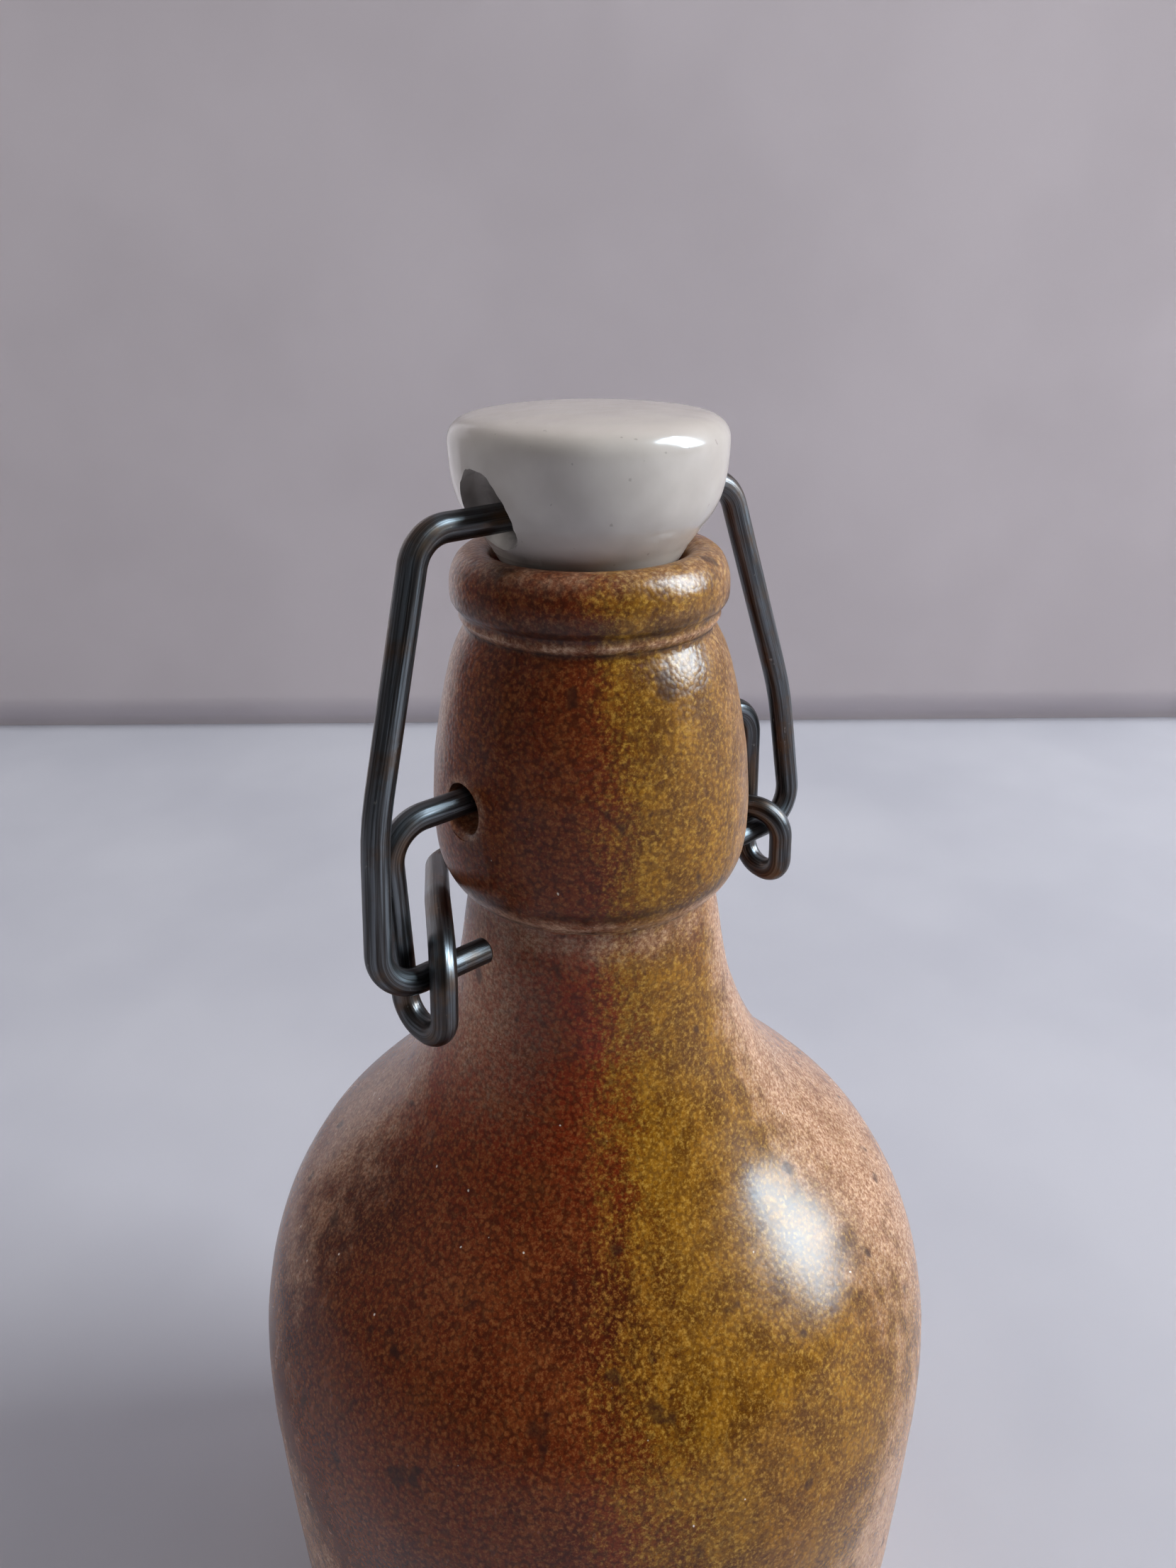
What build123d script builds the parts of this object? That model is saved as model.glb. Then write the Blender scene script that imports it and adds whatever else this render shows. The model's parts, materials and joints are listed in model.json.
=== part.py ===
from build123d import *
import os

# A stoneware bottle closed by a swing top: a porcelain stopper held down by a wire
# bail, which a second wire, the lever, pulls tight by passing its dead centre.
# Origin: centre of the underside. +Z is the bottle's axis, X is the lever's pivot axis,
# and the lever's bow lies on the +Y side of the neck. Millimetres.

# --- Bottle -------------------------------------------------------------------
LIP_HEIGHT = 180.0       # widest plane of the lip above the table
BODY_R = 45.0            # widest radius of the body
BASE_R = 42.5            # radius just above the foot
FOOT_ROUND = 3.5         # rounding between the side and the foot ring
FOOT_RING = 7.0          # width of the flat that the bottle stands on
FOOT_RECESS = 1.2        # hollow under the foot ring
WALL = 5.0               # side wall, measured level
FLOOR = 6.0              # floor above the table
BORE_R = 8.5             # bore through the neck

COLLAR_R = 17.6          # widest radius of the barrel-shaped collar
COLLAR_H = 29.9          # crease under the lip to crease above the neck
COLLAR_BULGE_DROP = 21.0  # crease under the lip to the collar's widest plane
COLLAR_LOW_OUT = 0.7     # collar just above the neck, as shares of its width
COLLAR_LOW_UP = 0.07     # and of its height
COLLAR_HIGH_OUT = 0.66   # collar's upper slope, as shares of its width above the lip's crease
COLLAR_HIGH_UP = 0.4     # and of the height from that crease down to the widest plane
NECK_R = 14.0            # crease between collar and neck
NECK_FLARE_R = 16.4      # neck where it starts to open into the shoulder
NECK_FLARE_DROP = 13.5   # crease above the neck to that place
SHOULDER_R = 25.1        # middle of the shoulder
SHOULDER_MID_DROP = 31.0
SHOULDER_DROP = 72.0     # crease above the neck to the widest plane of the body
SIDE_TAPER = 0.3         # share of the body's narrowing that lies above half height
UPPER_IN = 0.35          # upper body, as shares of the way in to the shoulder's middle
UPPER_DOWN = 0.62        # and of the way down from the neck
INNER_SAG = 2.0          # inside of the shoulder's middle below the outside's

LIP_R = 14.5             # widest radius of the lip bead
LIP_RISE = 4.4           # widest plane to the crest of the lip
LIP_DROP = 3.3           # widest plane to the crease under the lip
LIP_CREASE_R = 12.9
LIP_CREST_R = 11.3
MOUTH_R = 10.0           # seat cone at its top
MOUTH_DROP = 1.0         # crest of the lip to the top of the seat cone
SEAT_DEPTH = 5.0         # height of the seat cone

# --- Wires --------------------------------------------------------------------
WIRE_D = 2.8
PIVOT_DROP = 19.4        # lever's pivot axis below the widest plane of the lip
HOLE_PLAY = 2.5          # how much wider than the wire the two pivot holes are
HOLE_DEPTH = 6.0         # from the collar's widest radius
HOLE_ROUND = 0.7         # glazed rounding of each hole's mouth
PIN_PLAY = 0.5           # pin to the roof of its hole
PIN_END_PLAY = 1.2       # pin end to the bottom of its hole
ARM_GAP = 7.0            # collar's widest radius to the inside of the lever's arms
LEG_GAP = 1.8            # a lever arm to the bail leg outside it
EYE_PLAY = 0.4           # hook to the inside of its eye, at the front and back
HOOK_PLAY = 0.7          # hook to the top of its eye
EYE_RISE = 4.9           # half the height of the eye's centreline
HOOK_DROP = 35.0         # bail's lower hinge axis below the widest plane of the lip
HOOK_FRONT = 3.9         # the same axis in front of the pivot axis
HOOK_LEN = 8.2           # hook's end past the middle of the lever's arm
BOW_GAP = 1.4            # collar's widest radius to the inside of the bow's back
EYE_STRAIGHT = 0.2       # half the straight between the two low bends of an eye
EYE_LEAN = 0.5           # how far each corner of the eye stands inside the last
BOW_DIP = 0.3            # where the bow leaves its eye, below the eye's top
BOW_DROP = 38.0          # wire centre of the bow below the widest plane of the lip
EYE_TOP_BEND = 3.8       # bend radius where the eye turns into the bow
BOW_HALF = 8.5           # half the width of the bow's straight back, before bending
BOW_SIDE = 4.4           # how far each side of the bow stands inside its eye
BOW_BEND = 7.0           # bend radius of the bow's two corners
LEG_LEAN = 2.1           # the leg's slight bend inside its lower end
LEG_MID_RISE = 1.68      # that bend above the pivot axis
LEG_MID_FRONT = 0.62     # and in front of it, as a share of HOOK_FRONT
TIGHT_BEND = 4.2         # bend radius where a wire turns square

# --- Stopper and seal ---------------------------------------------------------
STOPPER_R = 13.8
STOPPER_RISE = 17.4      # top of the stopper above the widest plane of the lip
STOPPER_BRIM_RISE = 14.6  # its widest plane above the same
STOPPER_FACE_R = 8.8     # flat of its top
STOPPER_CROWN = 0.3      # rise of that flat to its middle
STOPPER_SWELL = 1.4      # its side outside a straight cone, at half height
FOOT_RISE = 3.0          # underside of its body above the same
FOOT_GAP = 0.7           # its body to the seat cone
BAR_RISE = 8.45          # bail's cross bar above the same
BAR_REACH = 6.3          # stopper's widest radius to the corner of the bail
BAR_PLAY = 0.25          # cross bar to the bottom of its slot
SLOT_PLAY = 2.0          # how much wider than the wire the slot in the stopper is
SLOT_HEADROOM = 2.35     # cross bar to the roof of its slot
SLOT_FLARE = 15          # degrees that its mouths open outwards
SLOT_FLARE_DEPTH = 5.0   # stopper's widest radius to where each mouth starts to open
NOSE_GAP = 1.9           # bead at the end of the stopper's spigot to the bore
NOSE_STEP = 1.2          # how far that bead stands out to keep the seal on
NOSE_LEN = 5.0
SEAL_H = 3.2
SEAL_GAP = 0.55          # seal to the seat cone, which the squeezed rubber takes up

# --- Derived ------------------------------------------------------------------
WIRE_R = WIRE_D / 2
HOLE_D = WIRE_D + HOLE_PLAY
SLOT_W = WIRE_D + SLOT_PLAY
SLOT_H = WIRE_D + BAR_PLAY + SLOT_HEADROOM
NOSE_END_R = BORE_R - NOSE_GAP
NOSE_R = NOSE_END_R - NOSE_STEP
BOW_BACK = COLLAR_R + BOW_GAP + WIRE_R
BOW_TURN_BEND = 3 * WIRE_D
LEG_BEND = 12 * WIRE_D
LIP_TOP = LIP_HEIGHT + LIP_RISE
MOUTH_Z = LIP_TOP - MOUTH_DROP
LIP_CREASE_Z = LIP_HEIGHT - LIP_DROP
BULGE_Z = LIP_CREASE_Z - COLLAR_BULGE_DROP
NECK_Z = LIP_CREASE_Z - COLLAR_H
BELLY_Z = NECK_Z - SHOULDER_DROP
PIVOT_Z = LIP_HEIGHT - PIVOT_DROP
HOLE_Z = PIVOT_Z + WIRE_R + PIN_PLAY - HOLE_D / 2
HOOK_Z = LIP_HEIGHT - HOOK_DROP
BAR_Z = LIP_HEIGHT + BAR_RISE
FOOT_Z = LIP_HEIGHT + FOOT_RISE
ARM_X = COLLAR_R + ARM_GAP + WIRE_R
LEG_X = ARM_X + WIRE_D + LEG_GAP
EYE_HALF = WIRE_D + EYE_PLAY
EYE_Z = HOOK_Z + WIRE_D + HOOK_PLAY - EYE_RISE


def at(radius, height):
    return Vector(radius, 0, height)


def line(first, second):
    return Line(at(*first), at(*second))


def curve(points, start, end):
    """A smooth curve through (radius, height) points, with its two end directions."""
    return Spline(*[at(r, z) for r, z in points], tangents=[at(*start), at(*end)])


def lathe(edges):
    """The solid that a closed outline sweeps around the bottle's axis."""
    return revolve(make_face(Wire(edges)), Axis.Z, 360)


def bent_wire(corners):
    """Round wire through (point, bend radius) corners from an end to the X = 0 plane."""
    points = [Vector(-x, y, z) for (x, y, z), bend in corners]
    points += [Vector(x, y, z) for (x, y, z), bend in reversed(corners)]
    bends = [bend for point, bend in corners[1:]]
    path = FilletPolyline(*points, radius=bends + bends[::-1])
    section = Plane(origin=path @ 0, z_dir=path % 0) * Circle(WIRE_R)
    return sweep(section, path=path)


def bottle_outside():
    foot_r = BASE_R - FOOT_ROUND
    rim_r = foot_r - FOOT_RING
    side_r = BODY_R - SIDE_TAPER * (BODY_R - BASE_R)
    upper_r = BODY_R - UPPER_IN * (BODY_R - SHOULDER_R)
    upper_z = NECK_Z - UPPER_DOWN * SHOULDER_DROP
    shoulder = [
        (BODY_R, BELLY_Z),
        (upper_r, upper_z),
        (SHOULDER_R, NECK_Z - SHOULDER_MID_DROP),
        (NECK_FLARE_R, NECK_Z - NECK_FLARE_DROP),
        (NECK_R, NECK_Z),
    ]
    return [
        line((0, FOOT_RECESS), (rim_r - FOOT_RECESS, FOOT_RECESS)),
        line((rim_r - FOOT_RECESS, FOOT_RECESS), (rim_r, 0)),
        line((rim_r, 0), (foot_r, 0)),
        curve([(foot_r, 0), (BASE_R, FOOT_ROUND)], (1, 0), (0.03, 1)),
        curve([(BASE_R, FOOT_ROUND), (side_r, BELLY_Z / 2), (BODY_R, BELLY_Z)], (0.03, 1), (0, 1)),
        curve(shoulder, (0, 1), (-0.2, 1)),
    ]


def collar_and_lip():
    low_r = NECK_R + COLLAR_LOW_OUT * (COLLAR_R - NECK_R)
    low_z = NECK_Z + COLLAR_LOW_UP * COLLAR_H
    high_r = LIP_CREASE_R + COLLAR_HIGH_OUT * (COLLAR_R - LIP_CREASE_R)
    high_z = LIP_CREASE_Z - COLLAR_HIGH_UP * COLLAR_BULGE_DROP
    crest = (LIP_CREST_R, LIP_TOP)
    return [
        curve([(NECK_R, NECK_Z), (low_r, low_z), (COLLAR_R, BULGE_Z)], (1, 0.15), (0, 1)),
        curve([(COLLAR_R, BULGE_Z), (high_r, high_z), (LIP_CREASE_R, LIP_CREASE_Z)], (0, 1), (-0.7, 1)),
        curve([(LIP_CREASE_R, LIP_CREASE_Z), (LIP_R, LIP_HEIGHT)], (0.3, 1), (0, 1)),
        curve([(LIP_R, LIP_HEIGHT), crest], (0, 1), (-1, 0)),
        curve([crest, (MOUTH_R, MOUTH_Z)], (-1, 0), (-0.3, -1)),
    ]


def bottle_inside():
    bore_top = MOUTH_Z - SEAT_DEPTH
    bore_end = NECK_Z - NECK_FLARE_DROP
    floor_r = BASE_R - WALL - FLOOR
    shoulder = [
        (BORE_R, bore_end),
        (SHOULDER_R - WALL, NECK_Z - SHOULDER_MID_DROP - INNER_SAG),
        (BODY_R - WALL, BELLY_Z),
    ]
    return [
        line((MOUTH_R, MOUTH_Z), (BORE_R, bore_top)),
        line((BORE_R, bore_top), (BORE_R, bore_end)),
        curve(shoulder, (0, -1), (0, -1)),
        line((BODY_R - WALL, BELLY_Z), (BASE_R - WALL, 2 * FLOOR)),
        curve([(BASE_R - WALL, 2 * FLOOR), (floor_r, FLOOR)], (-0.03, -1), (-1, 0)),
        line((floor_r, FLOOR), (0, FLOOR)),
        line((0, FLOOR), (0, FOOT_RECESS)),
    ]


def make_bottle():
    body = lathe(bottle_outside() + collar_and_lip() + bottle_inside())
    for side in (-1, 1):
        mouth = Plane(origin=(side * (COLLAR_R + WIRE_D), 0, HOLE_Z), z_dir=(-side, 0, 0))
        body -= extrude(mouth * Circle(HOLE_D / 2), HOLE_DEPTH + WIRE_D)
    rims = [e for e in body.edges() if is_hole_mouth(e)]
    return fillet(rims, HOLE_ROUND)


def is_hole_mouth(edge):
    """The edge where a pivot hole meets the outside of the collar."""
    centre = edge.center(CenterOf.BOUNDING_BOX)
    size = edge.bounding_box().size
    beside = abs(centre.Z - HOLE_Z) < WIRE_R and abs(centre.X) > COLLAR_R - 0.5 * HOLE_DEPTH
    return beside and size.Y > 0.9 * HOLE_D and size.Z > 0.9 * HOLE_D


def stopper_outside():
    brim = (STOPPER_R, LIP_HEIGHT + STOPPER_BRIM_RISE)
    crown = LIP_HEIGHT + STOPPER_RISE + STOPPER_CROWN
    foot_r = seat_radius(FOOT_Z) - FOOT_GAP
    waist = (0.5 * (foot_r + STOPPER_R) + STOPPER_SWELL, 0.5 * (FOOT_Z + brim[1]))
    return [
        curve([(foot_r, FOOT_Z), waist, brim], (0.45, 1), (0.03, 1)),
        curve([brim, (STOPPER_FACE_R, LIP_HEIGHT + STOPPER_RISE)], (0, 1), (-1, 0.12)),
        curve([(STOPPER_FACE_R, LIP_HEIGHT + STOPPER_RISE), (0, crown)],
              (-1, 0.12), (-1, 0)),
    ]


def seat_radius(height):
    """Radius of the mouth's seat cone at a height."""
    return MOUTH_R - (MOUTH_R - BORE_R) * (MOUTH_Z - height) / SEAT_DEPTH


def make_stopper():
    foot_r = seat_radius(FOOT_Z) - FOOT_GAP
    crown = LIP_HEIGHT + STOPPER_RISE + STOPPER_CROWN
    end = FOOT_Z - NOSE_LEN
    seal_end = FOOT_Z - SEAL_H
    nose = [
        line((0, end), (NOSE_R, end)),
        curve([(NOSE_R, end), (NOSE_END_R, 0.5 * (end + seal_end))], (1, 0), (0, 1)),
        line((NOSE_END_R, 0.5 * (end + seal_end)), (NOSE_END_R, seal_end)),
        line((NOSE_END_R, seal_end), (NOSE_R, seal_end)),
        line((NOSE_R, seal_end), (NOSE_R, FOOT_Z)),
        line((NOSE_R, FOOT_Z), (foot_r, FOOT_Z)),
    ]
    axis = [line((0, crown), (0, end))]
    body = lathe(nose + stopper_outside() + axis)
    return body - bar_slot()


def bar_slot():
    """Arched slot right through the stopper, flared at both mouths."""
    middle = BAR_Z - WIRE_R - BAR_PLAY + SLOT_H / 2
    start = STOPPER_R - SLOT_FLARE_DEPTH
    slot = across(-start, middle, 1, 2 * start, 0)
    for side in (-1, 1):
        slot += across(side * start, middle, side, 2 * SLOT_FLARE_DEPTH, -SLOT_FLARE)
    return slot


def across(x, height, direction, length, taper):
    """A slot-shaped prism along X that starts at x, its long side upright."""
    plane = Plane(origin=(x, 0, height), x_dir=(0, 0, 1), z_dir=(direction, 0, 0))
    return extrude(plane * SlotOverall(SLOT_H, SLOT_W), length, taper=taper)


def make_seal():
    low = FOOT_Z - SEAL_H
    inner = NOSE_R
    top_r = seat_radius(FOOT_Z) - SEAL_GAP
    low_r = seat_radius(low) - SEAL_GAP
    corners = [(inner, low), (low_r, low), (top_r, FOOT_Z), (inner, FOOT_Z), (inner, low)]
    return lathe([line(a, b) for a, b in zip(corners, corners[1:])])


def lever_corners():
    """From a pin's end, down the arm, round the eye and along half of the bow."""
    pin_x = COLLAR_R - HOLE_DEPTH + PIN_END_PLAY
    back = -HOOK_FRONT + EYE_HALF
    front = -HOOK_FRONT - EYE_HALF
    low = EYE_Z - EYE_RISE
    high = EYE_Z + EYE_RISE
    eye_bend = EYE_HALF - EYE_STRAIGHT
    return [
        ((pin_x, 0, PIVOT_Z), 0),
        ((ARM_X, 0, PIVOT_Z), TIGHT_BEND),
        ((ARM_X, back, low), eye_bend),
        ((ARM_X - EYE_LEAN, front, low), eye_bend),
        ((ARM_X - 2 * EYE_LEAN, front, high), EYE_TOP_BEND),
        ((ARM_X - WIRE_D - BOW_SIDE, -front / 2, high - BOW_DIP), BOW_TURN_BEND),
        ((BOW_HALF, BOW_BACK, LIP_HEIGHT - BOW_DROP), BOW_BEND),
    ]


def bail_corners():
    """From a hook's end, up the leg to the bend beside the stopper."""
    middle = (LEG_X - LEG_LEAN, -LEG_MID_FRONT * HOOK_FRONT, PIVOT_Z + LEG_MID_RISE)
    return [
        ((ARM_X - HOOK_LEN, -HOOK_FRONT, HOOK_Z), 0),
        ((LEG_X, -HOOK_FRONT, HOOK_Z), TIGHT_BEND),
        (middle, LEG_BEND),
        ((STOPPER_R + BAR_REACH, 0, BAR_Z), TIGHT_BEND),
    ]


def write_parts():
    os.makedirs("parts", exist_ok=True)
    export_step(make_bottle(), "parts/bottle.step")
    export_step(make_stopper(), "parts/stopper.step")
    export_step(make_seal(), "parts/seal_ring.step")
    export_step(bent_wire(bail_corners()), "parts/bail.step")
    export_step(bent_wire(lever_corners()), "parts/lever.step")


write_parts()
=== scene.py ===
import json
import math

import bmesh
import bpy
import numpy as np
from mathutils import Matrix, Vector, noise


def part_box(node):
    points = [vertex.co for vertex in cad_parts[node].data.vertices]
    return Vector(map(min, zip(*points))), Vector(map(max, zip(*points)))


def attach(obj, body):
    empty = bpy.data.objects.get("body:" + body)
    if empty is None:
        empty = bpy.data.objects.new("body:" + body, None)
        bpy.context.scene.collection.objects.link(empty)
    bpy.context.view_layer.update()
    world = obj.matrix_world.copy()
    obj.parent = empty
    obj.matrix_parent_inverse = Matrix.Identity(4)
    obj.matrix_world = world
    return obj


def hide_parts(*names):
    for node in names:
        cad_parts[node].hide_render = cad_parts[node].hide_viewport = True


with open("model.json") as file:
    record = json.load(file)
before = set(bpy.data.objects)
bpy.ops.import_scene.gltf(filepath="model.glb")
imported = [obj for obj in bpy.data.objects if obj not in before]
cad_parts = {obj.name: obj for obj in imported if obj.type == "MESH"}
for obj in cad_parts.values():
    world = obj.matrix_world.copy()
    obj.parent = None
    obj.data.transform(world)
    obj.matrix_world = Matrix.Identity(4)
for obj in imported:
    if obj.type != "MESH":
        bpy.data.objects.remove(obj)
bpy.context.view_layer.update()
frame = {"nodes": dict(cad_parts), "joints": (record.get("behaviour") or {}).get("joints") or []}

# --- Places read from the CAD model, in metres ----------------------------------
JOINTS = {joint["name"]: Vector(joint["pos_m"]) for joint in frame["joints"]}
PIVOT = JOINTS["lever_pivot"]
HOOKS = JOINTS["bail_hooks"]
BAR = JOINTS["stopper_swivel"]
LIP_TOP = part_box("bottle")[1].z
BODY_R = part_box("bottle")[1].x
STOPPER_LOW, STOPPER_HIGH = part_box("stopper")
SEAL_LOW, SEAL_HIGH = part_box("seal_ring")
WIRE_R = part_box("bail")[1].z - BAR.z
NECK_BREAK = 0.1468                 # crease between the collar and the neck
BELLY = 0.0748                      # widest plane of the body
BORE_WALL = 0.0095                  # just outside the neck's bore
HOLE_R = 0.00265
PIN_PLAY = 0.0005                   # above the pin, to the hole's roof
HOLE_Z = PIVOT.z + WIRE_R + PIN_PLAY - HOLE_R
HOLE_END = 0.0116                   # closed end of a pivot hole, from the axis
HOLE_FLARE = 0.0008                 # how far its mouth opens outwards
COLLAR_WALL = 0.01745               # the collar's surface at the holes
MM = 0.001

# --- Camera and light -------------------------------------------------------------
AXIS_AT_LIP = LIP_TOP - 0.0044      # widest plane of the lip
CAMERA_AZIMUTH = -40.0              # degrees round the object, 0 looking along +Y
CAMERA_DISTANCE = 0.11024           # level distance from the bottle's axis
CAMERA_RISE = 0.02979               # above the widest plane of the lip
CAMERA_PITCH = 25.46                # degrees down
CAMERA_YAW = 0.171                  # counter-clockwise seen from above
CAMERA_ROLL = 0.477                 # clockwise
CAMERA_LENS = 24.97                 # for a 36 mm sensor
WALL_BEHIND = 0.395                 # backdrop behind the bottle's axis
AIM = Vector((0, 0, AXIS_AT_LIP - 0.04))  # where the lights point, inside the collar
STAGE_HALF = 1.8


# --- Small tools ------------------------------------------------------------------
def link(name, mesh):
    obj = bpy.data.objects.new(name, mesh)
    bpy.context.scene.collection.objects.link(obj)
    return obj


def mesh_from(name, points, faces):
    mesh = bpy.data.meshes.new(name)
    mesh.from_pydata([tuple(p) for p in points], [], faces)
    mesh.update()
    mesh.polygons.foreach_set("use_smooth", [True] * len(mesh.polygons))
    return mesh


def half_section(node):
    """The CAD node's outline where X = 0 and Y >= 0, as (radius, height) in order."""
    cut = bmesh.new()
    cut.from_mesh(frame["nodes"][node].data)
    bmesh.ops.remove_doubles(cut, verts=cut.verts, dist=1e-6)
    geometry = cut.verts[:] + cut.edges[:] + cut.faces[:]
    plane = bmesh.ops.bisect_plane(cut, geom=geometry, plane_co=(0, 0, 0), plane_no=(1, 0, 0))
    edges = [e for e in plane["geom_cut"] if isinstance(e, bmesh.types.BMEdge)]
    ahead = {}
    for edge in edges:
        a, b = edge.verts
        ahead.setdefault(a, []).append(b)
        ahead.setdefault(b, []).append(a)
    loops = []
    while ahead:
        start = next(iter(ahead))
        loop = [start]
        while True:
            nexts = [v for v in ahead.pop(loop[-1]) if v in ahead]
            if not nexts:
                break
            loop.append(nexts[0])
        loops.append([(v.co.y, v.co.z) for v in loop])
    cut.free()
    longest = max(loops, key=lambda pts: sum(abs(p[0]) for p in pts))
    return right_half(longest)


def right_half(loop):
    """The run of a closed (y, z) loop that lies at y >= 0, from its low end round."""
    count = len(loop)
    inside = [p[0] >= 1e-7 for p in loop]
    start = next(i for i in range(count) if inside[i] and not inside[i - 1])
    run = []
    for step in range(count):
        point = loop[(start + step) % count]
        if point[0] < 1e-7:
            break
        run.append(point)
    first, last = run[0], run[-1]
    run = [(0.0, first[1])] + run + [(0.0, last[1])]
    return run if first[1] < last[1] else run[::-1]


def resample(outline, steps):
    """The outline again, with the spacing that steps(radius, height) asks for."""
    points = [outline[0]]
    for a, b in zip(outline, outline[1:]):
        length = math.hypot(b[0] - a[0], b[1] - a[1])
        count = max(1, math.ceil(length / steps(*a)))
        points += [(a[0] + (b[0] - a[0]) * i / count, a[1] + (b[1] - a[1]) * i / count)
                   for i in range(1, count + 1)]
    kept = [points[0]]
    for point in points[1:-1]:
        gap = math.hypot(point[0] - kept[-1][0], point[1] - kept[-1][1])
        if gap >= 0.7 * steps(*point):
            kept.append(point)
    return kept + [points[-1]]


def soften(outline, rounds):
    """Rounds an outline's corners a little, keeping its two ends on the axis."""
    points = np.array(outline)
    for _ in range(rounds):
        points[1:-1] = (points[:-2] + 2 * points[1:-1] + points[2:]) / 4
    return [tuple(p) for p in points]


def ridge(height, centre, width, rise):
    return rise * math.exp(-(((height - centre) / width) ** 2))


def lathe(name, outline, segments):
    """A closed surface round Z from an outline that starts and ends on the axis."""
    rings = outline[1:-1]
    turns = [2 * math.pi * i / segments for i in range(segments)]
    points = [(r * math.cos(t), r * math.sin(t), z) for r, z in rings for t in turns]
    low = len(points)
    points += [(0, 0, outline[0][1]), (0, 0, outline[-1][1])]
    faces = []
    for ring in range(len(rings) - 1):
        a, b = ring * segments, (ring + 1) * segments
        for i in range(segments):
            j = (i + 1) % segments
            faces.append((a + i, a + j, b + j, b + i))
    last = (len(rings) - 1) * segments
    for i in range(segments):
        j = (i + 1) % segments
        faces.append((low, j, i))
        faces.append((low + 1, last + i, last + j))
    return link(name, mesh_from(name, points, faces))


def stack(name, rings):
    """A closed solid through equal rings of points, capped at both ends."""
    count = len(rings[0])
    points = [p for ring in rings for p in ring]
    faces = [tuple(range(count))[::-1]]
    for r in range(len(rings) - 1):
        for i in range(count):
            j = (i + 1) % count
            a, b = r * count, (r + 1) * count
            faces.append((a + i, a + j, b + j, b + i))
    faces.append(tuple(range((len(rings) - 1) * count, len(rings) * count)))
    obj = link(name, mesh_from(name, points, faces))
    fixed = bmesh.new()
    fixed.from_mesh(obj.data)
    bmesh.ops.recalc_face_normals(fixed, faces=fixed.faces)
    fixed.to_mesh(obj.data)
    fixed.free()
    return obj


def carve(obj, cutters):
    """Cuts the cutters out of obj for good, and removes them."""
    for cutter in cutters:
        cut = obj.modifiers.new("cut", "BOOLEAN")
        cut.object = cutter
        cut.solver = "EXACT"
    bpy.context.view_layer.update()
    shape = obj.evaluated_get(bpy.context.evaluated_depsgraph_get())
    mesh = bpy.data.meshes.new_from_object(shape)
    obj.modifiers.clear()
    obj.data = mesh
    for cutter in cutters:
        bpy.data.objects.remove(cutter)
    mesh.polygons.foreach_set("use_smooth", [True] * len(mesh.polygons))
    mesh.set_sharp_from_angle(angle=math.radians(38))


def paint(obj, name, values):
    """Stores one number for each vertex, for the material to read."""
    layer = obj.data.attributes.new(name, "FLOAT", "POINT")
    layer.data.foreach_set("value", values)


# --- Bottle -----------------------------------------------------------------------
def bottle_steps(radius, height):
    """Coarse where nobody looks, fine where the collar and lip carry detail."""
    unseen = radius < BORE_WALL or (height < 0.1 and radius < BODY_R - 0.004)
    if unseen:
        return 0.0022
    return 0.00045 if height > NECK_BREAK - 0.002 else 0.0012


def bottle_outline():
    points = soften(resample(half_section("bottle"), bottle_steps), 2)
    crest = max(range(len(points)), key=lambda i: points[i][1])
    shaped = []
    for i, (radius, height) in enumerate(points):
        if 0 < i < crest:
            radius += ridge(height, AXIS_AT_LIP - 0.0016, 0.0005, -0.00030)
            radius += ridge(height, AXIS_AT_LIP - 0.0026, 0.0005, 0.00038)
            radius += ridge(height, NECK_BREAK + 0.0011, 0.00028, -0.00018)
            radius += ridge(height, NECK_BREAK + 0.0003, 0.00030, 0.00014)
            ripple = math.sin(height * 1150) + math.sin(height * 710 + 1.3)
            radius -= 0.00003 * (1 + 0.5 * ripple) if height > 0.01 else 0
        shaped.append((radius, height))
    return shaped


def hole_cutter(side):
    """A round hole whose mouth opens like a trumpet, as thick glaze leaves it."""
    profile = [(HOLE_END, 0.0024), (HOLE_END + 0.0002, HOLE_R)]
    for i in range(9):
        turn = math.radians(90 * i / 8)
        profile.append((COLLAR_WALL - HOLE_FLARE * (1 - math.sin(turn)),
                        HOLE_R + HOLE_FLARE * (1 - math.cos(turn))))
    profile.append((COLLAR_WALL + 0.002, HOLE_R + HOLE_FLARE))
    rings = []
    count = 56
    for x, radius in profile:
        ring = []
        for i in range(count):
            turn = 2 * math.pi * i / count
            ring.append((side * x, radius * math.cos(turn), HOLE_Z + radius * math.sin(turn)))
        rings.append(ring)
    return stack("hole_cutter", rings)


def thin_at(height, hole):
    """How thin the glaze runs, over the edges of the lip, collar and holes."""
    thin = ridge(height, LIP_TOP, 0.0012, 0.35)
    thin += ridge(height, AXIS_AT_LIP - 0.0026, 0.0005, 0.85)
    thin += ridge(height, AXIS_AT_LIP, 0.0006, 0.15)
    thin += ridge(height, NECK_BREAK + 0.0014, 0.0012, 1.0)
    thin += ridge(height, NECK_BREAK - 0.0018, 0.0018, 0.55)
    thin += ridge(hole, HOLE_R + 0.0004, 0.0005, 0.5)
    return min(1.0, thin)


def pool_at(height, hole):
    """How much dark glaze gathers, in the creases and under the lip."""
    pool = ridge(height, AXIS_AT_LIP - 0.0033, 0.00032, 1.0)
    pool += ridge(height, AXIS_AT_LIP - 0.0014, 0.0006, 0.8)
    pool += ridge(height, AXIS_AT_LIP - 0.0002, 0.0008, 0.5)
    pool += ridge(height, NECK_BREAK + 0.0007, 0.00028, 1.0)
    pool += ridge(height, NECK_BREAK + 0.0033, 0.0007, 0.7)
    pool += ridge(hole, HOLE_R - 0.0002, 0.0004, 0.5)
    return min(1.0, pool)


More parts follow.
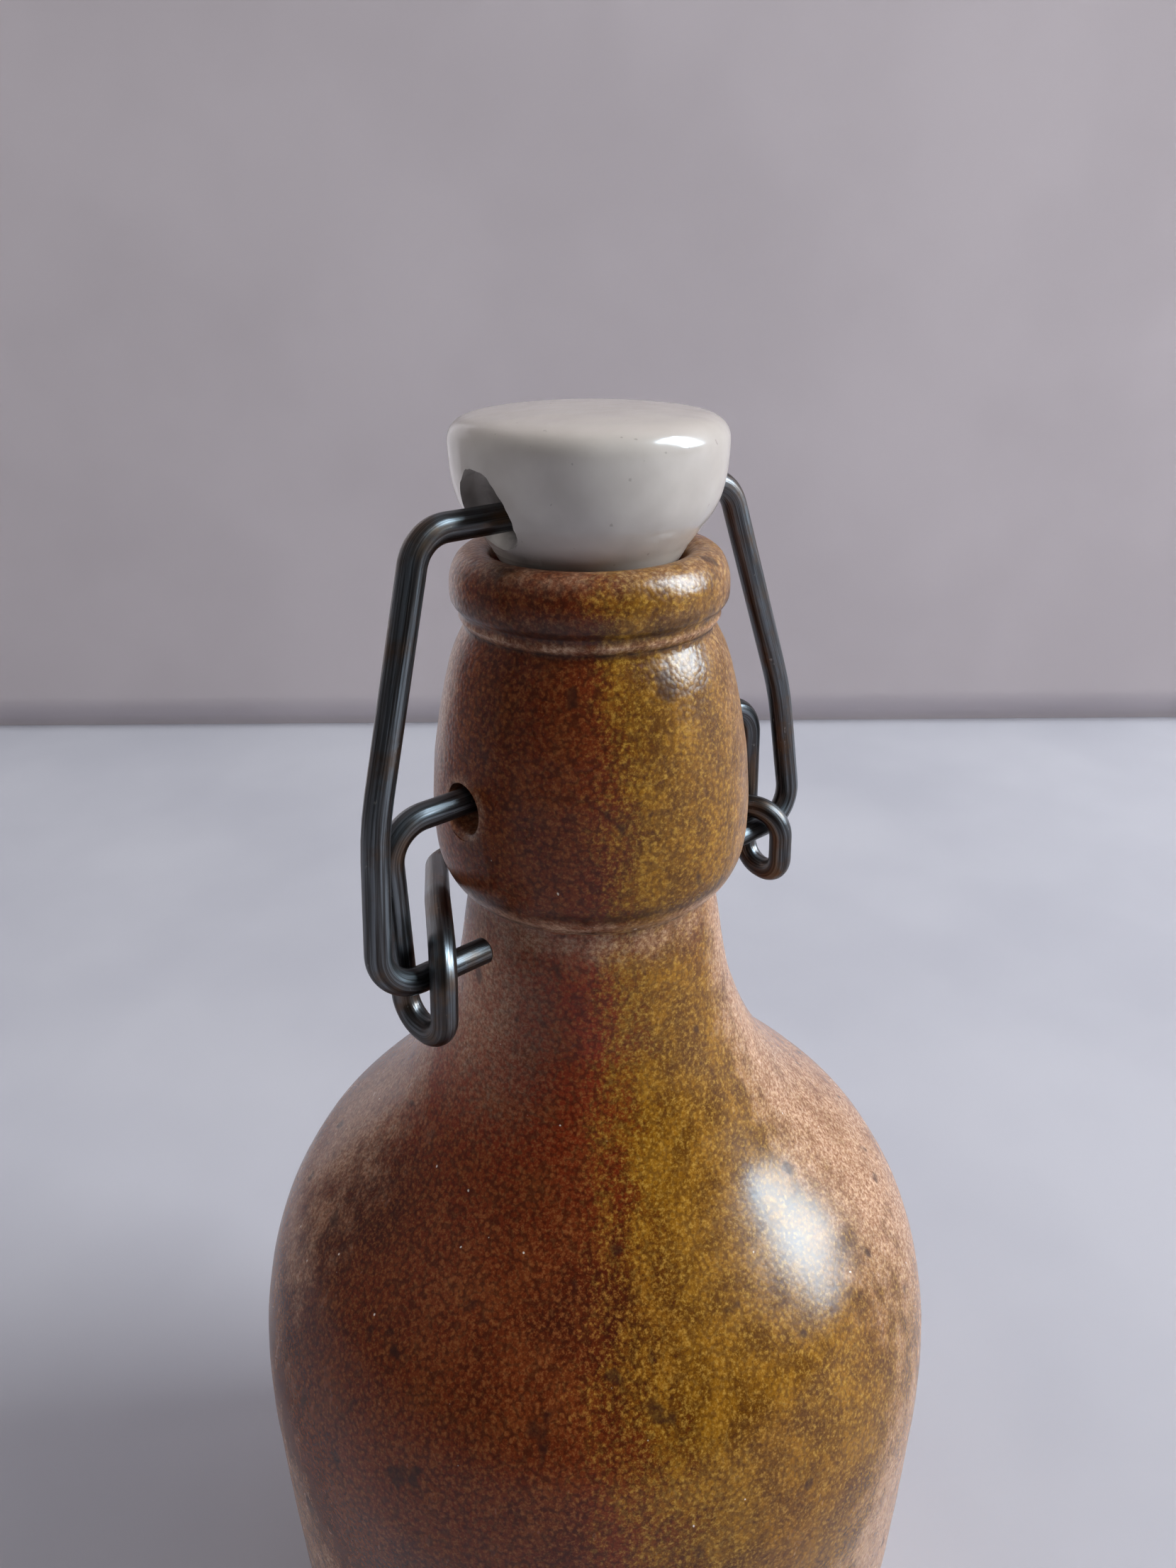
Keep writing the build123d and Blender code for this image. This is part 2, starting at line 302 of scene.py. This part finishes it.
def make_bottle():
    obj = lathe("bottle_glazed", bottle_outline(), 256)
    carve(obj, [hole_cutter(-1), hole_cutter(1)])
    thin, pool, bare = [], [], []
    for vertex in obj.data.vertices:
        x, y, z = vertex.co
        hole = math.hypot(y, z - HOLE_Z)
        outside = math.hypot(x, y) > 0.0112
        thin.append(thin_at(z, hole))
        pool.append(pool_at(z, hole) if outside else 0.0)
        bare.append(1.0 if z < 0.0016 else 0.0)
    paint(obj, "thin", thin)
    paint(obj, "pool", pool)
    paint(obj, "bare", bare)
    return obj


# --- Stopper and seal ---------------------------------------------------------------
def stopper_outline():
    points = soften(resample(half_section("stopper"), lambda radius, height: 0.0004), 2)
    line = AXIS_AT_LIP + 0.0048
    return [(r + ridge(z, line, 0.0002, -0.00006) if r > 0.009 else r, z) for r, z in points]


def slot_cutter():
    """An egg-shaped tunnel along X, with ragged mouths that open outwards."""
    rings = []
    count = 72
    for step in range(-32, 33):
        x = step * 0.0005
        open_up = min(1.0, max(0.0, (abs(x) - 0.0088) / 0.0034))
        open_up = open_up * open_up * (3 - 2 * open_up)
        half = 0.0024 + 0.0013 * open_up
        low = BAR.z - 0.00165 - 0.0026 * open_up
        high = BAR.z + 0.00375 + 0.0011 * open_up
        ring = []
        for i in range(count):
            turn = 2 * math.pi * i / count
            far = math.copysign(7, x)
            place = Vector((x * 900, math.cos(turn) * 2.6, math.sin(turn) * 2.6 + far))
            rough = 1 + open_up * (0.055 * noise.noise(place) + 0.03 * noise.noise(place * 3.1))
            y = half * math.cos(turn) * (1 - 0.06 * math.sin(turn)) * rough
            z = (low + high) / 2 + (high - low) / 2 * math.sin(turn) * rough
            ring.append((x, y, z))
        rings.append(ring)
    return stack("slot_cutter", rings)


def make_stopper():
    obj = lathe("stopper_porcelain", stopper_outline(), 192)
    carve(obj, [slot_cutter()])
    # inside: how far into the slot a point lies; the porcelain material paints the slot lighter
    # there, as painted light.
    inside = []
    for vertex in obj.data.vertices:
        x, y, z = vertex.co
        in_slot = abs(z - BAR.z - 0.0007) < 0.0048 and abs(y) < 0.004
        wall = 0.0128 * (0.72 + 0.28 * (z - STOPPER_LOW.z) / 0.0147)
        depth = wall - math.hypot(x, y)
        inside.append(min(1.0, max(0.0, depth / 0.0012)) if in_slot else 0.0)
    paint(obj, "inside", inside)
    return obj


def rounded(before, here, after, radius):
    """Four points round a corner of a flat outline."""
    a = (before - here).normalized() * radius
    b = (after - here).normalized() * radius
    return [tuple(here + a),
            tuple(here + a * 0.4 + b * 0.36),
            tuple(here + b * 0.4 + a * 0.36),
            tuple(here + b)]


def make_seal():
    bore = 0.0054
    wide = SEAL_HIGH.x
    narrow = wide - 0.00096
    corners = [Vector(corner) for corner in ((bore, SEAL_LOW.z), (narrow, SEAL_LOW.z),
                                             (wide, SEAL_HIGH.z), (bore, SEAL_HIGH.z))]
    section = []
    for i, here in enumerate(corners):
        section += rounded(corners[i - 1], here, corners[(i + 1) % 4], 0.0005)
    count = 128
    points = []
    for i in range(count):
        turn = 2 * math.pi * i / count
        points += [(r * math.cos(turn), r * math.sin(turn), z) for r, z in section]
    size = len(section)
    faces = []
    for i in range(count):
        a, b = i * size, ((i + 1) % count) * size
        for j in range(size):
            k = (j + 1) % size
            faces.append((a + j, b + j, b + k, a + k))
    obj = link("seal_ring_rubber", mesh_from("seal_ring_rubber", points, faces))
    obj.data.set_sharp_from_angle(angle=math.radians(50))
    return obj


# --- Wires ---------------------------------------------------------------------------
LEVER_CORNERS = [
    # from the pivot, in millimetres, with the radius of each bend
    ((12.8, 0, 0), 0),
    ((26.0, 0, 0), 4.2),
    ((26.0, -0.7, -21.9), 3.0),
    ((25.5, -7.1, -21.9), 3.0),
    ((25.0, -7.1, -12.1), 3.8),
    ((18.8, 3.55, -12.4), 8.4),
    ((8.5, 20.4, -18.6), 7.0),
]
BAIL_CORNERS = [
    # from the lower hinge, in millimetres
    ((17.8, 0, 0), 0),
    ((30.6, 0, 0), 4.2),
    ((28.5, 1.482, 17.28), 33.6),
    ((20.1, 3.9, 43.45), 4.2),
]


def bend(a, b, c, radius):
    """Points round the corner b of a wire that runs from a to c."""
    u = (a - b).normalized()
    v = (c - b).normalized()
    half = u.angle(v) / 2
    centre = b + (u + v).normalized() * (radius / math.sin(half))
    start = b + u * (radius / math.tan(half)) - centre
    end = b + v * (radius / math.tan(half)) - centre
    count = max(3, math.ceil((math.pi - 2 * half) / math.radians(5)))
    return [centre + start.slerp(end, i / count) * radius for i in range(count + 1)]


def wire_path(corners, origin):
    """The wire's middle line, from its left end to its right end."""
    right = [(origin + Vector(place) * MM, radius * MM) for place, radius in corners]
    left = [(Vector((-place.x, place.y, place.z)), radius) for place, radius in right]
    route = left + right[::-1]
    points = [route[0][0]]
    for (a, _), (b, radius), (c, _) in zip(route, route[1:], route[2:]):
        points += bend(a, b, c, radius)
    return points + [route[-1][0]]


def make_wire(name, corners, origin, sides=28):
    points = wire_path(corners, origin)
    nip = 0.00022                   # chamfer where the wire was cut
    nip_r = 0.86                    # and its radius there, over the wire's own
    points.insert(1, points[0] + (points[1] - points[0]).normalized() * nip)
    points.insert(-1, points[-1] + (points[-2] - points[-1]).normalized() * nip)
    run = [0.0]
    for a, b in zip(points, points[1:]):
        run.append(run[-1] + (b - a).length)
    side = Vector((0, 0, 1))
    rings, grain = [], []
    for i, point in enumerate(points):
        ahead = (points[min(i + 1, len(points) - 1)] - points[max(i - 1, 0)]).normalized()
        side = (side - ahead * side.dot(ahead)).normalized()
        other = ahead.cross(side)
        radius = WIRE_R * (nip_r if i in (0, len(points) - 1) else 1.0)
        ring = []
        for j in range(sides):
            turn = 2 * math.pi * j / sides
            ring.append(point + (side * math.cos(turn) + other * math.sin(turn)) * radius)
            grain += [math.cos(turn) * radius, math.sin(turn) * radius, run[i]]
        rings.append(ring)
    obj = stack(name, rings)
    layer = obj.data.attributes.new("grain", "FLOAT_VECTOR", "POINT")
    layer.data.foreach_set("vector", grain)
    obj.data.set_sharp_from_angle(angle=math.radians(40))
    return obj


# --- Materials -------------------------------------------------------------------------
def srgb(red, green, blue):
    def linear(value):
        value /= 255
        return value / 12.92 if value <= 0.04045 else ((value + 0.055) / 1.055) ** 2.4
    return (linear(red), linear(green), linear(blue), 1.0)


class Finish:
    """A material whose nodes are added one call at a time."""

    def __init__(self, name):
        self.data = bpy.data.materials.new(name)
        self.data.use_nodes = True
        self.tree = self.data.node_tree
        self.shader = self.tree.nodes["Principled BSDF"]
        self.place = self.node("ShaderNodeTexCoord", {}, "Object")

    def put(self, socket, value):
        if isinstance(value, bpy.types.NodeSocket):
            self.tree.links.new(value, socket)
        else:
            socket.default_value = value

    def node(self, kind, inputs, out=0, **settings):
        new = self.tree.nodes.new(kind)
        for key, value in settings.items():
            setattr(new, key, value)
        for key, value in inputs.items():
            self.put(new.inputs[key], value)
        return new.outputs[out]

    def set(self, **inputs):
        for key, value in inputs.items():
            self.put(self.shader.inputs[key.replace("_", " ").title()], value)

    def math(self, kind, a, b=0.0, c=0.0):
        return self.node("ShaderNodeMath", {0: a, 1: b, 2: c}, operation=kind)

    def noise(self, scale, detail=2.0, roughness=0.5, place=None, stretch=None):
        place = place or self.place
        if stretch:
            place = self.node("ShaderNodeVectorMath", {0: place, 1: stretch}, operation="MULTIPLY")
        inputs = {"Vector": place, "Scale": scale, "Detail": detail, "Roughness": roughness}
        return self.node("ShaderNodeTexNoise", inputs, "Fac")

    def ramp(self, value, low, high, least=0.0, most=1.0):
        inputs = {"Value": value, "From Min": low, "From Max": high, "To Min": least, "To Max": most}
        return self.node("ShaderNodeMapRange", inputs, interpolation_type="SMOOTHSTEP")

    def mix(self, factor, a, b):
        new = self.tree.nodes.new("ShaderNodeMix")
        new.data_type = "RGBA"
        self.put(new.inputs[0], factor)
        self.put(new.inputs[6], a)
        self.put(new.inputs[7], b)
        return new.outputs[2]

    def read(self, name, out="Fac"):
        return self.node("ShaderNodeAttribute", {}, out, attribute_name=name)

    def bump(self, height, distance):
        inputs = {"Height": height, "Distance": distance, "Strength": 1.0}
        return self.node("ShaderNodeBump", inputs)

    def facing(self, degrees):
        """Cosine of the angle round the axis between a point and a direction."""
        flat = self.node("ShaderNodeVectorMath", {0: self.place, 1: (1, 1, 0)}, operation="MULTIPLY")
        unit = self.node("ShaderNodeVectorMath", {0: flat}, operation="NORMALIZE")
        return self.node("ShaderNodeVectorMath", {0: unit, 1: round_axis(degrees)}, "Value",
                         operation="DOT_PRODUCT")

    def height(self):
        return self.node("ShaderNodeSeparateXYZ", {0: self.place}, "Z")


def round_axis(degrees):
    """Level direction that many degrees to the right of the side shown in front."""
    turn = math.radians(CAMERA_AZIMUTH + degrees)
    return Vector((math.sin(turn), -math.cos(turn), 0))


def distance_from(m, height, level):
    return m.math("ABSOLUTE", m.math("SUBTRACT", height, level))


def amber_run(m, cloud, ragged):
    """1 where amber glaze ran down the front right and the back."""
    front = m.ramp(m.math("ADD", m.facing(55), ragged), 0.54, 0.82)
    back = m.ramp(m.math("ADD", m.facing(188), m.sway), 0.80, 0.95, 0.0, 0.85)
    run = m.math("MAXIMUM", front, back)
    return m.math("MULTIPLY", run, m.ramp(cloud, 0.25, 0.50, 0.62, 1.0))


def brown_glaze(m, fine, grains, mottle, cloud, height):
    brown = m.mix(m.ramp(cloud, 0.36, 0.66), srgb(76, 28, 11), srgb(110, 45, 17))
    red = m.ramp(distance_from(m, height, NECK_BREAK - 0.012), 0.026, 0.004, 0.0, 0.85)
    brown = m.mix(red, brown, srgb(136, 48, 22))
    brown = m.mix(m.ramp(mottle, 0.42, 0.70, 0.0, 0.60), brown, srgb(122, 62, 26))
    brown = m.mix(m.ramp(fine, 0.46, 0.64, 0.0, 0.66), brown, srgb(152, 94, 50))
    return m.mix(m.ramp(grains, 0.42, 0.75, 0.0, 0.55), brown, srgb(44, 18, 9))


def amber_glaze(m, fine, grains, mottle):
    amber = m.mix(m.ramp(mottle, 0.34, 0.66), srgb(100, 62, 9), srgb(142, 96, 18))
    amber = m.mix(m.ramp(fine, 0.46, 0.68, 0.0, 0.66), amber, srgb(196, 154, 66))
    return m.mix(m.ramp(grains, 0.42, 0.75, 0.0, 0.55), amber, srgb(84, 50, 16))


def pale_glaze_and_sheen(m, fine, mottle):
    # Pale thin glaze; its light tones also serve as painted sheen at the left edge.
    pale_and_sheen = m.mix(m.ramp(fine, 0.42, 0.66), srgb(166, 122, 94), srgb(226, 193, 163))
    return m.mix(m.ramp(mottle, 0.52, 0.30, 0.0, 0.35), pale_and_sheen, srgb(132, 84, 58))


def thin_glaze_and_left_sheen(m, mottle, height):
    """1 where the glaze is thin and pale: the sides, the low body and the edges. Towards the left
    edge of the body and neck the pale is partly thin glaze and partly painted sheen.
    """
    right = m.ramp(m.math("ADD", m.facing(98), m.sway), 0.70, 0.96, 0.0, 0.82)
    below_collar = m.ramp(height, NECK_BREAK + 0.003, NECK_BREAK - 0.004, 0.35, 1.0)
    thin = m.math("MULTIPLY", right, below_collar)
    # Left edge of the body: pale partly from thin glaze, partly as painted sheen.
    left = m.ramp(m.math("ADD", m.facing(-92), m.sway), 0.80, 1.04, 0.0, 0.55)
    thin = m.math("MAXIMUM", thin, left)
    above_belly = m.math("MULTIPLY_ADD", height, -9.0, 9.0 * BELLY)
    for bearing in (80, -84):
        low = m.math("ADD", m.math("ADD", m.facing(bearing), m.sway), above_belly)
        thin = m.math("MAXIMUM", thin, m.ramp(low, 0.76, 0.99, 0.0, 0.76))
    # Left side of the neck: pale partly from thin glaze, partly as painted sheen.
    neck_left_thin_and_sheen = m.ramp(distance_from(m, height, NECK_BREAK - 0.009), 0.019, 0.004)
    neck_left_thin_and_sheen = m.math("MULTIPLY", neck_left_thin_and_sheen, m.ramp(m.facing(-80), 0.3, 0.95, 0.0, 0.5))
    thin = m.math("MAXIMUM", thin, neck_left_thin_and_sheen)
    thin = m.math("MULTIPLY", thin, m.ramp(mottle, 0.25, 0.62, 0.72, 1.0))
    worn = m.ramp(m.noise(420, 3.0, 0.65), 0.38, 0.60, 0.35, 1.0)
    return m.math("MAXIMUM", thin, m.math("MULTIPLY", m.read("thin"), worn))


def glaze_marks(m, colour, fine):
    """Dark pores, blots, the dark lines in the creases, and a few white specks."""
    colour = m.mix(m.ramp(fine, 0.46, 0.32, 0.0, 0.50), colour, srgb(52, 26, 14))
    blots = m.ramp(m.noise(260, 2.0, 0.5, stretch=(1, 1, 0.8)), 0.66, 0.74, 0.0, 0.70)
    colour = m.mix(blots, colour, srgb(50, 27, 20))
    broken = m.ramp(m.noise(300, 3.0, 0.7), 0.36, 0.56, 0.15, 0.95)
    colour = m.mix(m.math("MULTIPLY", m.read("pool"), broken), colour, srgb(48, 30, 26))
    specks = m.ramp(m.noise(1500, 0.0, 0.5), 0.885, 0.91)
    return m.mix(specks, colour, srgb(226, 214, 196))


def glaze():
    m = Finish("salt_glaze_speckled")
    fine = m.noise(2200, 4.0, 0.78)
    grains = m.node("ShaderNodeTexVoronoi", {"Vector": m.place, "Scale": 1750.0}, "Distance")
    mottle = m.noise(330, 3.0, 0.6, stretch=(1, 1, 0.62))
    cloud = m.noise(52, 3.0, 0.55, stretch=(1, 1, 0.55))
    wander = m.noise(38, 4.0, 0.6, stretch=(1, 1, 0.5))
    height = m.height()
    sway = m.math("MULTIPLY_ADD", wander, 0.30, -0.15)
    m.sway = m.math("ADD", sway, m.math("MULTIPLY_ADD", mottle, 0.30, -0.15))
    ragged = m.math("ADD", m.sway, m.math("MULTIPLY_ADD", fine, 0.60, -0.30))
    colour = m.mix(amber_run(m, cloud, ragged),
                   brown_glaze(m, fine, grains, mottle, cloud, height),
                   amber_glaze(m, fine, grains, mottle))
    colour = m.mix(thin_glaze_and_left_sheen(m, mottle, height), colour, pale_glaze_and_sheen(m, fine, mottle))
    colour = glaze_marks(m, colour, fine)
    clay = m.mix(m.ramp(fine, 0.4, 0.66), srgb(176, 146, 112), srgb(206, 180, 148))
    bare = m.read("bare")
    colour = m.mix(bare, colour, clay)
    rugged = m.ramp(height, NECK_BREAK - 0.012, NECK_BREAK + 0.004, 0.22, 1.0)
    rough = m.math("MULTIPLY_ADD", mottle, 0.14, m.math("MULTIPLY_ADD", rugged, 0.06, 0.17))
    rough = m.math("MAXIMUM", rough, m.math("MULTIPLY", bare, 0.85))
    relief = m.math("MULTIPLY_ADD", grains, -0.40, m.math("MULTIPLY", mottle, 0.9))
    relief = m.math("MULTIPLY", relief, rugged)
    m.set(base_color=colour, roughness=rough, normal=m.bump(relief, 0.00008))
    m.shader.inputs["Specular IOR Level"].default_value = 0.25
    return m.data


def porcelain():
    m = Finish("porcelain_glazed")
    cloud = m.noise(140, 3.0, 0.5)
    top = m.ramp(m.height(), STOPPER_HIGH.z - 0.0022, STOPPER_HIGH.z - 0.0004)
    white = m.mix(m.ramp(cloud, 0.3, 0.7), srgb(180, 173, 166), srgb(196, 190, 183))
    white = m.mix(m.math("MULTIPLY", top, 0.7), white, srgb(200, 191, 183))
    foot = m.ramp(m.height(), AXIS_AT_LIP + 0.0056, AXIS_AT_LIP + 0.0034, 0.0, 0.55)
    white = m.mix(foot, white, srgb(186, 176, 168))
    inside = m.read("inside")
    # Inside the slot: rough bare porcelain, its colour painted lighter than the glazed white as
    # painted light in the dim tunnel, with blotches of tone.
    stain = m.ramp(m.noise(700, 3.0, 0.6), 0.35, 0.65)
    slot_painted_light = m.mix(stain, srgb(198, 191, 184), srgb(220, 213, 206))
    colour = m.mix(inside, white, slot_painted_light)
    pits = m.ramp(m.noise(1500, 1.0, 0.5), 0.76, 0.80, 0.0, 0.5)
    colour = m.mix(pits, colour, srgb(140, 132, 124))
    rough = m.math("MULTIPLY_ADD", cloud, 0.10, 0.12)
    rough = m.math("MAXIMUM", rough, m.math("MULTIPLY", inside, 0.7))
    relief = m.math("MULTIPLY_ADD", m.noise(900, 2.0, 0.5), 0.12, m.noise(170, 2.0, 0.5))
    m.set(base_color=colour, roughness=rough, normal=m.bump(relief, 0.00014))
    m.shader.inputs["Specular IOR Level"].default_value = 0.34
    m.shader.inputs["Coat Weight"].default_value = 0.12
    m.shader.inputs["Coat Roughness"].default_value = 0.08
    return m.data


def rubber():
    m = Finish("seal_rubber_red")
    grain = m.noise(2600, 2.0, 0.6)
    bloom = m.noise(300, 3.0, 0.6)
    colour = m.mix(m.ramp(bloom, 0.35, 0.7), srgb(168, 52, 32), srgb(190, 82, 56))
    colour = m.mix(m.ramp(grain, 0.55, 0.7, 0.0, 0.3), colour, srgb(120, 34, 24))
    rough = m.math("MULTIPLY_ADD", grain, 0.25, 0.45)
    m.set(base_color=colour, roughness=rough, normal=m.bump(grain, 0.00005))
    return m.data


def steel():
    m = Finish("drawn_wire_steel")
    grain = m.read("grain", "Vector")
    hair = m.noise(5200, 2.0, 0.6, place=grain, stretch=(1, 1, 0.012))
    draw = m.noise(1500, 3.0, 0.6, place=grain, stretch=(1, 1, 0.03))
    stain = m.noise(170, 4.0, 0.62)
    scuff = m.noise(900, 3.0, 0.7, stretch=(1, 1, 0.5))
    colour = m.mix(m.ramp(draw, 0.36, 0.64), srgb(62, 58, 56), srgb(106, 109, 112))
    colour = m.mix(m.ramp(stain, 0.46, 0.66, 0.0, 0.75), colour, srgb(96, 74, 56))
    colour = m.mix(m.ramp(hair, 0.52, 0.42, 0.0, 0.55), colour, srgb(38, 33, 31))
    colour = m.mix(m.ramp(scuff, 0.66, 0.76, 0.0, 0.7), colour, srgb(150, 146, 140))
    rough = m.math("MULTIPLY_ADD", draw, 0.22, 0.24)
    rough = m.math("MAXIMUM", rough, m.ramp(stain, 0.5, 0.75, 0.0, 0.58))
    relief = m.math("MULTIPLY_ADD", hair, 0.5, draw)
    m.set(base_color=colour, roughness=rough, normal=m.bump(relief, 0.00007))
    m.shader.inputs["Metallic"].default_value = 0.92
    return m.data


def cloth(name, low, high):
    m = Finish(name)
    m.set(base_color=m.mix(m.ramp(m.noise(9, 3.0, 0.5), 0.3, 0.7), low, high))
    m.shader.inputs["Roughness"].default_value = 0.95
    m.shader.inputs["Specular IOR Level"].default_value = 0.1
    return m.data


# --- Stage, lights and camera ------------------------------------------------------------
def sheet(name, profile, material):
    """A wide sheet through (distance behind the bottle, height) points."""
    ahead = -round_axis(0)
    across = round_axis(90)
    points = []
    for along, height in profile:
        for side in (-STAGE_HALF, STAGE_HALF):
            points.append(ahead * along + across * side + Vector((0, 0, height)))
    faces = [(2 * i, 2 * i + 1, 2 * i + 3, 2 * i + 2) for i in range(len(profile) - 1)]
    obj = link(name, mesh_from(name, points, faces))
    obj.data.materials.append(material)


def make_stage():
    """A level floor, and a plain backdrop that hangs just clear of it."""
    floor = cloth("stage_floor", srgb(186, 187, 196), srgb(196, 197, 205))
    wall = cloth("stage_wall", srgb(206, 197, 199), srgb(214, 205, 207))
    sheet("stage_floor", [(-1.5, 0), (0.62, 0)], floor)
    hem = [(0.010, 0), (0.0095, 0.003), (0.007, 0.0065), (0.003, 0.011), (0, 0.019), (0, 1.9)]
    sheet("stage_wall", [(WALL_BEHIND + deep, height) for deep, height in hem], wall)


def area_light(name, bearing, rise, distance, width, height, power, colour):
    """A rectangular light that many degrees round and up from AIM, facing it."""
    data = bpy.data.lights.new(name, "AREA")
    data.shape = "RECTANGLE"
    data.size = width
    data.size_y = height
    data.energy = power
    data.color = colour
    obj = link(name, data)
    level = math.cos(math.radians(rise))
    outward = round_axis(bearing) * level + Vector((0, 0, math.sin(math.radians(rise))))
    obj.location = AIM + outward * distance
    obj.rotation_mode = "QUATERNION"
    obj.rotation_quaternion = outward.to_track_quat("Z", "Y")
    obj.visible_camera = False
    return obj


def make_lights():
    window = area_light("window", 83, 29, 2.0, 0.92, 0.98, 52.0, (0.95, 0.975, 1.0))
    window.visible_glossy = False
    sheen = area_light("window_sheen", 101, 32, 2.0, 1.5, 1.5, 290.0, (0.68, 0.86, 1.0))
    sheen.visible_diffuse = False
    fill = area_light("room_fill", -78, 42, 1.7, 1.2, 1.2, 6.5, (1.0, 0.97, 0.95))
    fill.visible_glossy = False
    haze = area_light("left_haze", -146, 2, 0.42, 0.34, 0.5, 0.34, (0.97, 0.95, 1.0))
    haze.visible_diffuse = False


def make_room():
    """Dim light from all round, fainter from the front than from behind."""
    world = bpy.data.worlds.new("room")
    bpy.context.scene.world = world
    world.use_nodes = True
    nodes, links = world.node_tree.nodes, world.node_tree.links
    where = nodes.new("ShaderNodeTexCoord")
    toward = nodes.new("ShaderNodeVectorMath")
    toward.operation = "DOT_PRODUCT"
    toward.inputs[1].default_value = round_axis(15)
    fade = nodes.new("ShaderNodeMapRange")
    fade.inputs["From Min"].default_value = -0.5
    fade.inputs["From Max"].default_value = 0.8
    fade.inputs["To Min"].default_value = 0.30
    fade.inputs["To Max"].default_value = 0.04
    room = nodes["Background"]
    room.inputs["Color"].default_value = (0.90, 0.90, 0.97, 1)
    links.new(where.outputs["Generated"], toward.inputs[0])
    links.new(toward.outputs["Value"], fade.inputs["Value"])
    links.new(fade.outputs["Result"], room.inputs["Strength"])


def make_camera():
    data = bpy.data.cameras.new("camera")
    data.lens = CAMERA_LENS
    data.sensor_width = 36
    data.clip_start = 0.005
    obj = link("camera", data)
    spot = round_axis(0) * CAMERA_DISTANCE + Vector((0, 0, AXIS_AT_LIP + CAMERA_RISE))
    turn = Matrix.Rotation(math.radians(CAMERA_AZIMUTH + CAMERA_YAW), 4, "Z")
    tilt = Matrix.Rotation(math.radians(90 - CAMERA_PITCH), 4, "X")
    roll = Matrix.Rotation(math.radians(-CAMERA_ROLL), 4, "Z")
    obj.matrix_world = Matrix.Translation(spot) @ turn @ tilt @ roll
    bpy.context.scene.camera = obj


def dress(obj, material, body, node):
    obj.data.materials.clear()
    obj.data.materials.append(material)
    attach(obj, body)
    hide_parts(node)


bpy.context.scene.view_settings.view_transform = "Standard"
make_camera()
make_stage()
make_lights()
make_room()
wire_finish = steel()
dress(make_bottle(), glaze(), "bottle", "bottle")
dress(make_stopper(), porcelain(), "stopper", "stopper")
dress(make_seal(), rubber(), "stopper", "seal_ring")
dress(make_wire("bail_wire", BAIL_CORNERS, HOOKS), wire_finish, "bail", "bail")
dress(make_wire("lever_wire", LEVER_CORNERS, PIVOT), wire_finish, "lever", "lever")
